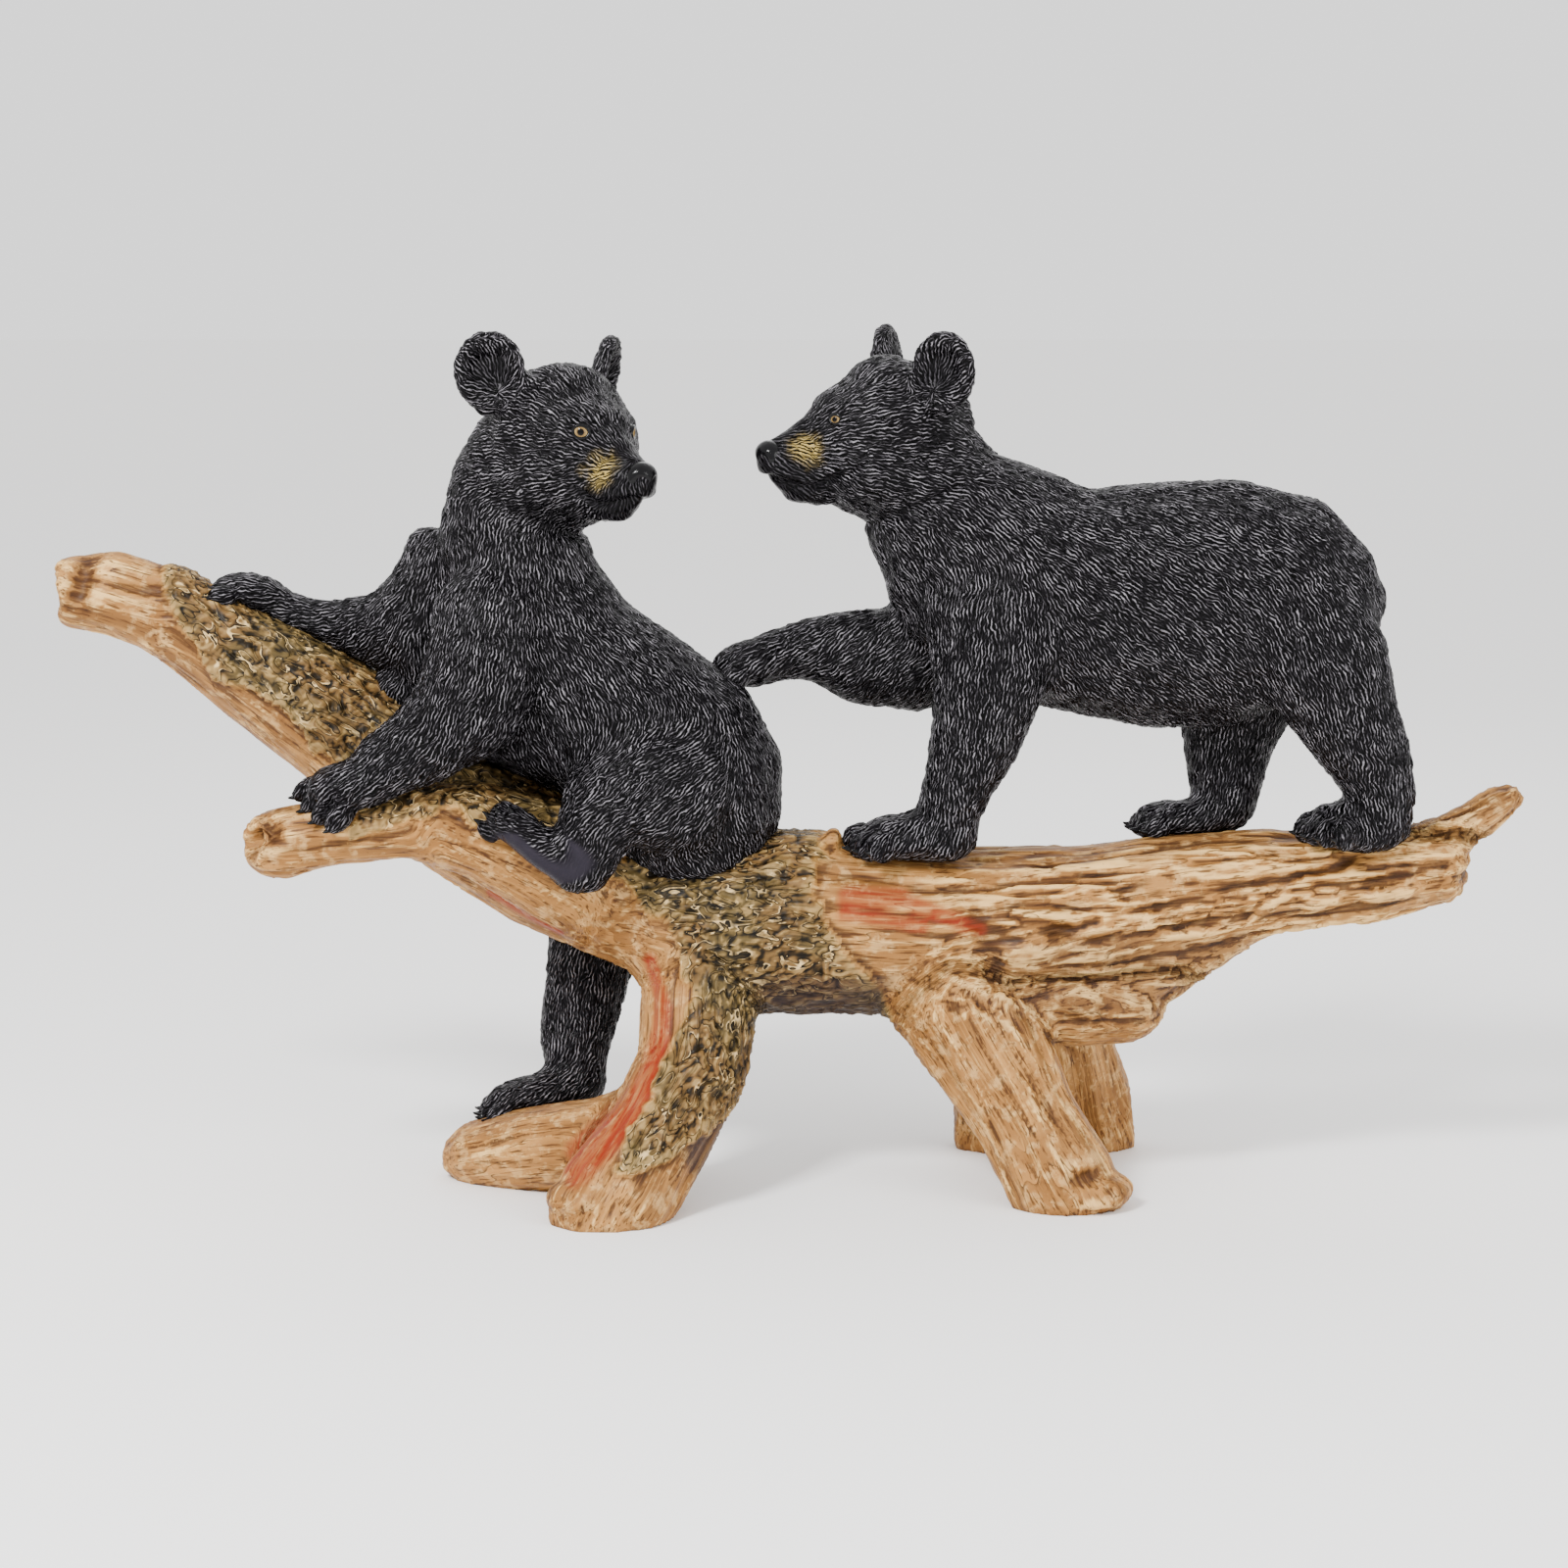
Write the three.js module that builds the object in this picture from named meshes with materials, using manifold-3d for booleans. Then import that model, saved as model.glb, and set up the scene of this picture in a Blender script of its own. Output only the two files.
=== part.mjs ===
// A cast garden group of two young black bears on a fallen tree trunk.
// One cub sits astride the trunk and looks back over its shoulder.
// The other walks up behind it and rests a raised paw on its rump.
// Millimetres, +Z up. The group faces -Y, and the trunk runs along X.
// The origin is under the middle of the group, on the ground.

import * as THREE from "three";
import { mergeVertices } from "three/addons/utils/BufferGeometryUtils.js";
import Module from "manifold-3d";

const wasm = await Module();
wasm.setup();

// ---- Driving dimensions ----

const castGap = 0.3; // glue gap between the three castings
const legSides = 10; // facets round a limb or a root
const bodySides = 14; // facets round a torso, a skull or the trunk
const stepsPerStation = 1; // rings from one station to the next

const headReach = 79; // skull centre to the tip of the nose
const skullHalfWidth = 38;
const skullHalfHeight = 38;
const muzzleHalfWidth = 13;
const earRadius = 18;
const earThickness = 7;
const earSpread = 37.5; // from the head's middle plane to the middle of an ear
const earRise = 30.5; // from the skull centre to the middle of an ear

const fur = { color: 0x1c1b1e, roughness: 0.5, metalness: 0 };
const wood = { color: 0xc49a66, roughness: 0.65, metalness: 0 };

// ---- Solids ----

// A closed geometry becomes a solid that can be joined and cut.
function solidOf(geometry) {
  const bare = geometry.clone();
  bare.deleteAttribute("normal");
  bare.deleteAttribute("uv");
  const merged = mergeVertices(bare, 1e-4);
  return new wasm.Manifold(
    new wasm.Mesh({
      numProp: 3,
      vertProperties: merged.attributes.position.array,
      triVerts: new Uint32Array(merged.index.array),
    }),
  );
}

// A joined or cut solid becomes a geometry again.
function geometryOf(solid) {
  const mesh = solid.getMesh();
  const geometry = new THREE.BufferGeometry();
  geometry.setAttribute("position", new THREE.BufferAttribute(mesh.vertProperties, 3));
  geometry.setIndex(new THREE.BufferAttribute(mesh.triVerts, 1));
  return geometry;
}

function joined(solids) {
  return solids.reduce((all, next) => all.add(next));
}

// A rounded form swept through stations of [x, y, z, half width, half height].
// Half width lies along sideAxis, and half height crosses both it and the path.
// Each end closes in a dome, bluntness 0 for a flat end and 1 for a half round one.
function limb(stations, grow = 0, options = {}) {
  const { sides = legSides, startDome = 0.9, endDome = 0.9, sideAxis = new THREE.Vector3(0, 1, 0) } = options;
  const path = new THREE.CatmullRomCurve3(stations.map(([x, y, z]) => new THREE.Vector3(x, y, z)));
  const sizes = new THREE.CatmullRomCurve3(
    stations.map(([, , , width, height]) => new THREE.Vector3(width + grow, height + grow, 0)),
  );
  const rings = [];
  const addRing = (t, scale, push) => {
    const tangent = path.getTangent(t);
    const side = sideAxis.clone().addScaledVector(tangent, -sideAxis.dot(tangent)).normalize();
    const up = new THREE.Vector3().crossVectors(tangent, side);
    const size = sizes.getPoint(t);
    const centre = path.getPoint(t).addScaledVector(tangent, push * Math.min(size.x, size.y));
    rings.push({ centre, side, up, width: size.x * scale, height: size.y * scale });
  };
  const domeAngles = [90, 55].map(THREE.MathUtils.degToRad);
  for (const a of domeAngles) addRing(0, Math.cos(a), -startDome * Math.sin(a));
  const steps = (stations.length - 1) * stepsPerStation;
  for (let i = 0; i <= steps; i++) addRing(i / steps, 1, 0);
  for (const a of domeAngles.toReversed()) addRing(1, Math.cos(a), endDome * Math.sin(a));

  const points = [];
  const faces = [];
  const last = rings.length - 1;
  rings.forEach(({ centre, side, up, width, height }, row) => {
    const count = row === 0 || row === last ? 1 : sides;
    for (let i = 0; i < count; i++) {
      const angle = (2 * Math.PI * i) / sides;
      const point = centre.clone();
      if (count > 1) {
        point.addScaledVector(side, width * Math.cos(angle)).addScaledVector(up, height * Math.sin(angle));
      }
      points.push(point.x, point.y, point.z);
    }
  });
  const at = (row, i) => {
    if (row === 0) return 0;
    const start = 1 + (row - 1) * sides;
    return row === last ? start : start + (i % sides);
  };
  for (let row = 0; row < last; row++) {
    for (let i = 0; i < sides; i++) {
      const [a, b, c, d] = [at(row, i), at(row, i + 1), at(row + 1, i + 1), at(row + 1, i)];
      if (row > 0) faces.push(a, b, c);
      if (row < last - 1) faces.push(a, c, d);
    }
  }
  const geometry = new THREE.BufferGeometry();
  geometry.setAttribute("position", new THREE.Float32BufferAttribute(points, 3));
  geometry.setIndex(faces);
  return solidOf(geometry);
}

// An egg-shaped lump with its own turn, given in degrees about X, Y and Z.
function lump([x, y, z], [rx, ry, rz], turn = [0, 0, 0], grow = 0) {
  const geometry = new THREE.SphereGeometry(1, 12, 7);
  geometry.scale(rx + grow, ry + grow, rz + grow);
  geometry.applyMatrix4(
    new THREE.Matrix4().makeRotationFromEuler(
      new THREE.Euler(...turn.map(THREE.MathUtils.degToRad), "XYZ"),
    ),
  );
  geometry.translate(x, y, z);
  return solidOf(geometry);
}

function block([x0, y0, z0], [x1, y1, z1]) {
  const geometry = new THREE.BoxGeometry(x1 - x0, y1 - y0, z1 - z0);
  geometry.translate((x0 + x1) / 2, (y0 + y1) / 2, (z0 + z1) / 2);
  return solidOf(geometry);
}

// ---- The fallen trunk ----

// Trunk, two broken branches to the left, one root on the left and two on the right.
function fallenTrunk(grow = 0) {
  const round = { sides: bodySides };
  const beam = limb(
    [
      [-66, 2, 143, 38, 40],
      [-30, 0, 136, 42, 46],
      [15, 0, 136, 43, 46],
      [62, 0, 133, 42, 43],
      [110, 0, 134, 40, 41],
      [160, 1, 140, 36, 37],
      [205, 1, 150, 31, 33],
      [250, 1, 158, 27, 27],
      [300, 0, 160, 25, 23],
      [338, -2, 166, 20, 20],
    ],
    grow,
    { ...round, endDome: 0.6 },
  );
  const horn = limb(
    [
      [312, -2, 170, 16, 14],
      [338, -3, 181, 13, 12],
      [355, -4, 191, 10, 10],
      [368, -5, 201, 8.5, 8.5],
    ],
    grow,
  );
  const splinteredWedge = limb(
    [
      [60, -5, 114, 28, 26],
      [105, -6, 106, 30, 29],
      [150, -6, 98, 27, 26],
      [184, -6, 91, 20, 17],
    ],
    grow,
    { endDome: 0.5 },
  );
  const ledge = limb(
    [
      [150, -4, 110, 24, 22],
      [190, -4, 117, 22, 20],
      [225, -3, 136, 18, 17],
      [255, -2, 149, 14, 13],
    ],
    grow,
  );
  const highBranch = limb(
    [
      [-70, 6, 146, 36, 38],
      [-125, 14, 167, 34, 36],
      [-190, 24, 206, 32, 35],
      [-225, 26, 231.5, 30, 33],
      [-257, 27, 253, 27, 30],
      [-288, 27, 274, 24, 25.5],
      [-318, 26, 294, 22, 23],
      [-345, 24, 304, 20, 22],
      [-368, 22, 304, 18, 18.5],
    ],
    grow,
    { ...round, endDome: 0.5 },
  );
  const lowBranch = limb(
    [
      [-75, 0, 148, 34, 36],
      [-118, -12, 168, 28, 30],
      [-155, -24, 187, 23, 24],
      [-190, -32, 192, 18, 18],
      [-222, -35, 189, 17, 17],
      [-252, -36, 183, 18, 18.5],
      [-262, -36, 181, 16, 16],
    ],
    grow,
    { endDome: 0.6 },
  );
  const leftLeg = limb(
    [
      [-44, 2, 140, 38, 36],
      [-44, -14, 100, 32, 30],
      [-47, -32, 68, 29, 28],
      [-62, -52, 38, 28, 28],
      [-82, -73, 12, 28, 31],
      [-90, -81, -14, 28, 33],
    ],
    grow,
  );
  const leftRoot = limb(
    [
      [-62, -40, 40, 26, 26],
      [-92, -28, 27, 26, 24],
      [-122, -10, 20, 27, 23],
      [-148, 6, 14, 27, 20],
      [-161, 12, 11, 23, 18],
    ],
    grow,
  );
  const rightLeg = limb(
    [
      [78, -14, 112, 28, 34],
      [105, -26, 74, 26, 32],
      [122, -38, 42, 25, 27],
      [138, -47, 14, 26, 29],
      [146, -48, -14, 27, 31],
    ],
    grow,
  );
  const rightButtress = limb(
    [
      [112, 18, 108, 26, 34],
      [130, 45, 62, 25, 43],
      [138, 68, 28, 26, 50],
      [141, 80, -12, 29, 52],
    ],
    grow,
  );
  const whole = joined([
    beam,
    horn,
    splinteredWedge,
    ledge,
    highBranch,
    lowBranch,
    leftLeg,
    leftRoot,
    rightLeg,
    rightButtress,
  ]);
  const rot = lump([-378, 20, 303], [16, 12, 12]).add(lump([-266, -44, 184], [10, 9, 6]));
  return whole.subtract(rot).subtract(block([-400, -300, -80], [400, 300, 0]));
}

// ---- The cubs ----

// A cub's head, made facing +X about its skull centre, then turned and placed.
// Yaw turns the nose towards +Y, pitch lifts it, and roll lifts the +Y ear, in degrees.
function head({ at, yaw, pitch, roll }, grow = 0) {
  const skull = limb(
    [
      [-11, 0, -2, 0.84 * skullHalfWidth, 0.88 * skullHalfHeight],
      [4, 0, 0, skullHalfWidth, skullHalfHeight],
      [18, 0, -2, 0.95 * skullHalfWidth, skullHalfHeight],
      [31, 0, -3, 0.79 * skullHalfWidth, 0.9 * skullHalfHeight],
      [41, 0, -4, 0.58 * skullHalfWidth, 0.72 * skullHalfHeight],
    ],
    grow,
    { sides: bodySides, startDome: 0.75, endDome: 0.35 },
  );
  const muzzle = limb(
    [
      [28, 0, -14, 2 * muzzleHalfWidth, 25],
      [headReach - 33, 0, -12, 1.45 * muzzleHalfWidth, 21.5],
      [headReach - 22, 0, -12, 1.18 * muzzleHalfWidth, 18.5],
      [headReach - 13, 0, -10, muzzleHalfWidth, 13],
      [headReach - 7, 0, -9, 0.8 * muzzleHalfWidth, 9.5],
    ],
    grow,
    { endDome: 0.6 },
  );
  const nosePad = lump([headReach - 4.5, 0, -4.5], [5, 7.5, 5], [0, 0, 0], grow);
  const parts = [skull, muzzle, nosePad];
  for (const hand of [-1, 1]) {
    parts.push(lump([33, 15 * hand, 14], [9, 9, 7], [0, 0, 0], grow));
    parts.push(lump([20, 24 * hand, -17], [18, 12, 17], [0, 0, 0], grow));
    const ear = lump([0, 0, 0], [earThickness, earRadius, earRadius], [0, 0, 0], grow);
    const cup = lump([0.95 * earThickness, 0, 1], [0.8 * earThickness, 0.74 * earRadius, 0.76 * earRadius]);
    parts.push(
      ear
        .subtract(cup)
        .rotate([-12 * hand, 0, 38 * hand])
        .translate([-8, earSpread * hand, earRise]),
    );
  }
  return joined(parts).rotate([roll, -pitch, yaw]).translate(at);
}

// The cub that sits astride the trunk, reaching along both branches.
function seatedCub(grow = 0) {
  const torso = limb(
    [
      [-47, 0, 184, 46, 47],
      [-51, 0, 204, 50, 53],
      [-62, 0, 224, 51, 54],
      [-86, 0, 248, 50, 47],
      [-113, 0, 276, 45, 41],
      [-130, 0, 304, 41, 39],
      [-138, 0, 332, 36, 38],
      [-134, -1, 361, 32, 33.5],
      [-126, -2, 383, 28, 28],
    ],
    grow,
    { sides: bodySides },
  );
  const farArm = limb(
    [
      [-160, 14, 307, 26, 42],
      [-187, 21, 281, 25, 36],
      [-213, 30, 284, 17, 18],
      [-236, 34, 287, 13, 11],
      [-256, 34, 292, 11, 10],
      [-268, 33, 299, 11, 9],
    ],
    grow,
  );
  const farPaw = limb(
    [
      [-264, 33, 300, 12, 8.5],
      [-277, 31, 304, 14, 9],
      [-290, 29, 303, 13, 8],
    ],
    grow,
  );
  const nearArm = limb(
    [
      [-144, -28, 302, 24, 30],
      [-148, -36, 272, 26, 31],
      [-160, -40, 248, 25, 27],
      [-183, -42, 231, 19, 20],
      [-204, -42, 220, 16, 15],
    ],
    grow,
  );
  const nearPaw = limb(
    [
      [-200, -42, 217, 16, 13],
      [-214, -42, 213, 19, 13],
      [-228, -42, 210, 17, 11],
    ],
    grow,
  );
  const nearThigh = limb(
    [
      [-46, -28, 206, 30, 34],
      [-70, -40, 210, 27, 34],
      [-90, -47, 201, 20, 25],
      [-97, -50, 184, 15, 18],
      [-99, -50, 171, 12, 14],
    ],
    grow,
  );
  const nearFoot = limb(
    [
      [-101, -50, 170, 12, 11],
      [-120, -50, 182, 13, 10],
      [-139, -48, 197, 12, 9],
    ],
    grow,
  );
  const farThigh = limb(
    [
      [-56, 26, 204, 30, 38],
      [-82, 50, 168, 22, 30],
      [-99, 55, 126, 19, 25],
      [-104, 46, 96, 17, 22],
      [-109, 36, 68, 15, 19],
      [-110, 28, 52, 13, 16],
    ],
    grow,
  );
  const farFoot = limb(
    [
      [-103, 26, 46, 13, 11],
      [-128, 21, 42, 15, 10],
      [-148, 17, 36, 13, 9],
    ],
    grow,
  );
  const belly = limb(
    [
      [-146, 2, 250, 34, 30],
      [-98, 2, 232, 36, 34],
    ],
    grow,
    { sides: 8 },
  );
  return joined([
    torso,
    belly,
    farArm,
    farPaw,
    nearArm,
    nearPaw,
    nearThigh,
    nearFoot,
    farThigh,
    farFoot,
    head({ at: [-117, -3, 384], yaw: -47.5, pitch: -10, roll: -2 }, grow),
  ]);
}

// The cub that walks along the trunk with one forepaw raised.
function walkingCub(grow = 0) {
  const torso = limb(
    [
      [86, 0, 318, 38, 42],
      [112, 0, 311, 44, 57],
      [146, 0, 302, 46, 57],
      [186, 0, 299, 49, 62.5],
      [226, 0, 300, 49, 63],
      [258, 0, 298, 46, 56],
      [279, 0, 288, 39, 41],
    ],
    grow,
    { sides: bodySides, endDome: 0.5 },
  );
  const neck = limb(
    [
      [64, -1, 372, 33, 35],
      [75, -1, 352, 35, 39],
      [88, 0, 338, 38, 47],
      [104, 0, 322, 42, 57],
    ],
    grow,
    { sides: bodySides },
  );
  const tail = lump([298, 0, 304], [7, 6, 12], [0, -18, 0], grow);
  const nearForeleg = limb(
    [
      [104, -25, 300, 24, 36],
      [102, -29, 260, 24, 28],
      [96, -28, 234, 20, 23],
      [88, -25, 212, 17, 18],
      [83, -22, 195, 15, 16],
    ],
    grow,
  );
  const nearForepaw = limb(
    [
      [86, -21, 184, 15, 13],
      [64, -21, 184, 17, 12],
      [46, -21, 182, 15, 9.5],
    ],
    grow,
  );
  const raisedForeleg = limb(
    [
      [90, 22, 292, 24, 40],
      [62, 27, 268, 24, 28],
      [38, 28, 270, 20, 25],
      [14, 26, 274, 15, 16],
      [-6, 23, 271, 12, 12.5],
    ],
    grow,
  );
  const raisedPaw = limb(
    [
      [-4, 22, 271, 13, 12],
      [-16, 19, 267, 16, 12],
      [-28, 17, 265, 14, 10],
    ],
    grow,
  );
  const nearHindLeg = limb(
    [
      [250, -20, 300, 27, 40],
      [272, -27, 268, 26, 33],
      [285, -28, 240, 20, 25],
      [297, -25, 218, 17, 20],
      [303, -22, 199, 15, 16],
    ],
    grow,
  );
  const nearHindFoot = limb(
    [
      [305, -21, 191, 14, 13],
      [290, -21, 188, 16, 12.5],
      [275, -20, 190, 15, 11],
    ],
    grow,
  );
  const farHindLeg = limb(
    [
      [242, 20, 284, 26, 40],
      [233, 25, 245, 23, 30],
      [229, 24, 222, 19, 23],
      [228, 20, 205, 16, 19],
      [229, 17, 195, 14, 15],
    ],
    grow,
  );
  const farHindFoot = limb(
    [
      [231, 16, 191, 13, 9],
      [208, 15, 188, 15, 9],
      [188, 15, 187, 14, 8],
    ],
    grow,
  );
  return joined([
    torso,
    neck,
    tail,
    nearForeleg,
    nearForepaw,
    raisedForeleg,
    raisedPaw,
    nearHindLeg,
    nearHindFoot,
    farHindLeg,
    farHindFoot,
    head({ at: [60, -1, 387], yaw: 200, pitch: -5, roll: -2 }, grow),
  ]);
}

// ---- The group ----

function casting(name, solid, finish) {
  const mesh = new THREE.Mesh(geometryOf(solid), new THREE.MeshStandardMaterial(finish));
  mesh.name = name;
  return mesh;
}

// Each cub is trimmed to what it sits on, with the glue gap between them.
const trunk = fallenTrunk();
const trunkWithGap = fallenTrunk(castGap);
const seated = seatedCub().subtract(trunkWithGap);
const walking = walkingCub().subtract(trunkWithGap).subtract(seatedCub(castGap));

const group = new THREE.Group();
group.add(casting("fallen_trunk", trunk, wood));
group.add(casting("seated_cub", seated, fur));
group.add(casting("walking_cub", walking, fur));

export default group;
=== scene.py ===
import math

import bpy
import numpy as np
from mathutils import Euler, Matrix, Vector
from mathutils.bvhtree import BVHTree
from mathutils.kdtree import KDTree


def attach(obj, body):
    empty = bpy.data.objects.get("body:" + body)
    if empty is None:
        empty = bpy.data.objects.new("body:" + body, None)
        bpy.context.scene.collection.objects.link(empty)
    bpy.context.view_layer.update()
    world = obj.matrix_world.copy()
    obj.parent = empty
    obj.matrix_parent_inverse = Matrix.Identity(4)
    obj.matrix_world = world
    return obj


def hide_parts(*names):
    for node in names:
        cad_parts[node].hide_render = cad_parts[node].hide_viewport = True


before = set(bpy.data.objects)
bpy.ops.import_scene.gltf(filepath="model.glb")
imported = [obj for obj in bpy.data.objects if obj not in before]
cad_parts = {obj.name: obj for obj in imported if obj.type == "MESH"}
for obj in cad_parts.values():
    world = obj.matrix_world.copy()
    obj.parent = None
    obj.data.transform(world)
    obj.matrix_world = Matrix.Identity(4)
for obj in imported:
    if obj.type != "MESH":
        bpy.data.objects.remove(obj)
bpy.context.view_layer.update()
mm = 0.001


def selectOnly(piece):
    bpy.ops.object.select_all(action="DESELECT")
    piece.select_set(True)
    bpy.context.view_layer.objects.active = piece


def applyAll(piece):
    selectOnly(piece)
    for modifier in list(piece.modifiers):
        bpy.ops.object.modifier_apply(modifier=modifier.name)


def setPlace(piece):
    selectOnly(piece)
    bpy.ops.object.transform_apply(location=True, rotation=True, scale=True)


def pointsOf(piece):
    points = np.empty(len(piece.data.vertices) * 3)
    piece.data.vertices.foreach_get("co", points)
    return points.reshape(-1, 3)


def setPoints(piece, points):
    piece.data.vertices.foreach_set("co", points.ravel())
    piece.data.update()


def normalsOf(piece):
    normals = np.empty(len(piece.data.vertices) * 3)
    piece.data.vertex_normals.foreach_get("vector", normals)
    return normals.reshape(-1, 3)


def edgesOf(piece):
    edges = np.empty(len(piece.data.edges) * 2, dtype=np.int32)
    piece.data.edges.foreach_get("vertices", edges)
    return edges.reshape(-1, 2)


def neighbourMean(values, edges):
    size = len(values)
    count = np.bincount(edges.ravel(), minlength=size)
    total = np.empty_like(values)
    for k in range(values.shape[1]):
        column = values[:, k]
        total[:, k] = np.bincount(edges[:, 0], column[edges[:, 1]], size)
        total[:, k] += np.bincount(edges[:, 1], column[edges[:, 0]], size)
    return total / np.maximum(count, 1)[:, None]


def relax(piece, rounds):
    # evens out facets and creases without shrinking the form
    points = pointsOf(piece)
    edges = edgesOf(piece)
    for i in range(rounds):
        for step in (0.5, -0.52):
            points += step * (neighbourMean(points, edges) - points)
    setPoints(piece, points)


def remesh(piece, size):
    piece.modifiers.clear()
    modifier = piece.modifiers.new("skin", "REMESH")
    modifier.mode = "VOXEL"
    modifier.voxel_size = size
    applyAll(piece)


def formOf(node, name, coarse, rounds, keep=None):
    # a working copy of a CAD casting, with its facets smoothed away
    piece = bpy.data.objects.new(name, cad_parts[node].data.copy())
    bpy.context.scene.collection.objects.link(piece)
    piece.data.materials.clear()
    selectOnly(piece)
    bpy.ops.object.mode_set(mode="EDIT")
    bpy.ops.mesh.select_all(action="SELECT")
    bpy.ops.mesh.remove_doubles(threshold=0.00001)
    bpy.ops.object.mode_set(mode="OBJECT")
    remesh(piece, coarse)
    relax(piece, keep["rounds"] if keep else rounds)
    if keep:
        # the head keeps its small forms while the body loses its facets
        before = pointsOf(piece).copy()
        relax(piece, rounds)
        away = np.linalg.norm(before - np.array(keep["centre"]), axis=1) / mm
        share = 1 - smoothStep(away, keep["near"], keep["far"])
        setPoints(piece, before * share[:, None] + pointsOf(piece) * (1 - share)[:, None])
    return piece


def joinTo(piece, extras):
    selectOnly(piece)
    for extra in extras:
        extra.select_set(True)
    bpy.ops.object.join()


def ball(matrix, size, segments=24, rings=16):
    # an egg shape, size in millimetres, placed by a matrix in metres
    bpy.ops.object.select_all(action="DESELECT")
    bpy.ops.mesh.primitive_uv_sphere_add(segments=segments, ring_count=rings, radius=1)
    made = bpy.context.object
    made.matrix_world = matrix @ Matrix.Diagonal(Vector([s * mm for s in size] + [1]))
    setPlace(made)
    return made


def turned(angles):
    return Euler([math.radians(angle) for angle in angles]).to_matrix().to_4x4()


def place(at, turn=(0, 0, 0)):
    # a matrix from millimetres and degrees
    return Matrix.Translation(Vector(at) * mm) @ turned(turn)


def aimed(at, forward, side):
    # local X along forward, local Y near side, local Z up between them
    x = Vector(forward).normalized()
    z = x.cross(Vector(side)).normalized()
    y = z.cross(x)
    turn = Matrix((x, y, z)).transposed().to_4x4()
    return Matrix.Translation(Vector(at) * mm) @ turn


def smoothStep(x, low, high):
    t = np.clip((x - low) / (high - low), 0, 1)
    return t * t * (3 - 2 * t)


def cornerValue(cell, seed):
    # a fixed scatter of values from -1 to 1, made from large odd numbers
    spread = (374761393, 668265263, 1440662683)
    stir = 1274126177
    n = cell[:, 0] * spread[0] + cell[:, 1] * spread[1] + cell[:, 2] * spread[2] + seed * stir
    n = n & 0xFFFFFFFF
    n = ((n ^ (n >> 13)) * stir) & 0xFFFFFFFF
    return ((n ^ (n >> 16)) & 0xFFFF) / 32767.5 - 1


def cloud(points, size, seed=0):
    # soft random values from -1 to 1 with lumps of the given size
    scaled = points / size
    base = np.floor(scaled)
    part = scaled - base
    part = part * part * (3 - 2 * part)
    base = base.astype(np.int64)
    total = np.zeros(len(points))
    for dx in (0, 1):
        for dy in (0, 1):
            for dz in (0, 1):
                corner = np.array([dx, dy, dz])
                share = np.prod(np.abs(1 - corner - part), axis=1)
                total += share * cornerValue(base + corner, seed)
    return total


def unit(vectors):
    return vectors / np.maximum(np.linalg.norm(vectors, axis=1), 1e-9)[:, None]


def alongSurface(flow, normals):
    return unit(flow - normals * np.sum(flow * normals, axis=1)[:, None])


def nearestOnPath(points, start, end):
    # distance from a straight stretch, and the stretch's direction
    a = np.array(start) * mm
    ab = np.array(end) * mm - a
    t = np.clip((points - a) @ ab / (ab @ ab), 0, 1)
    away = points - (a + t[:, None] * ab)
    return np.linalg.norm(away, axis=1), ab / np.linalg.norm(ab)


def combed(points, normals, edges, strokes, droop):
    # the direction of the nearest strokes, laid along the surface
    flow = np.zeros_like(points)
    for start, end, reach in strokes:
        distance, direction = nearestOnPath(points, start, end)
        weight = 1 / ((distance / (reach * mm)) ** 4 + 0.02)
        flow += weight[:, None] * direction
    flow = unit(flow)
    flow[:, 2] -= droop
    flow = alongSurface(flow, normals)
    for i in range(8):
        flow = alongSurface(flow + 1.5 * neighbourMean(flow, edges), normals)
    return flow


def layStrokes(points, normals, flow, seeds, rng, plan):
    # overlapping raised strokes, each rising along its length and ending in a step
    tree = KDTree(len(points))
    for i, point in enumerate(points):
        tree.insert(point, i)
    tree.balance()
    height = np.zeros(len(points))
    for seed in seeds:
        length = rng.uniform(*plan["length"]) * mm
        width = rng.uniform(*plan["width"]) * mm / 2
        rise = rng.uniform(*plan["height"]) * mm
        lean = rng.normal(0, plan["stray"])
        near = tree.find_range(points[seed], length * 0.55)
        index = np.fromiter((item[1] for item in near), dtype=np.int64, count=len(near))
        offset = points[index] - points[seed]
        side = np.cross(normals[seed], flow[seed])
        forward = flow[seed] * math.cos(lean) + side * math.sin(lean)
        side = np.cross(normals[seed], forward)
        s = offset @ forward / length + 0.5
        taper = 1 - plan["taper"] * np.clip(s, 0, 1)
        t = offset @ side / (width * taper)
        ramp = smoothStep(s, 0.0, 0.75) * (1 - smoothStep(s, 0.88, 1.0))
        height[index] = np.maximum(height[index], rise * (ramp * np.clip(1 - t * t, 0, 1) ** 0.7))
    return height


def addAttribute(piece, name, values, kind="FLOAT"):
    attribute = piece.data.attributes.new(name, kind, "POINT")
    field = "vector" if kind == "FLOAT_VECTOR" else "value"
    attribute.data.foreach_set(field, np.ascontiguousarray(values, dtype=np.float32).ravel())


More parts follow.
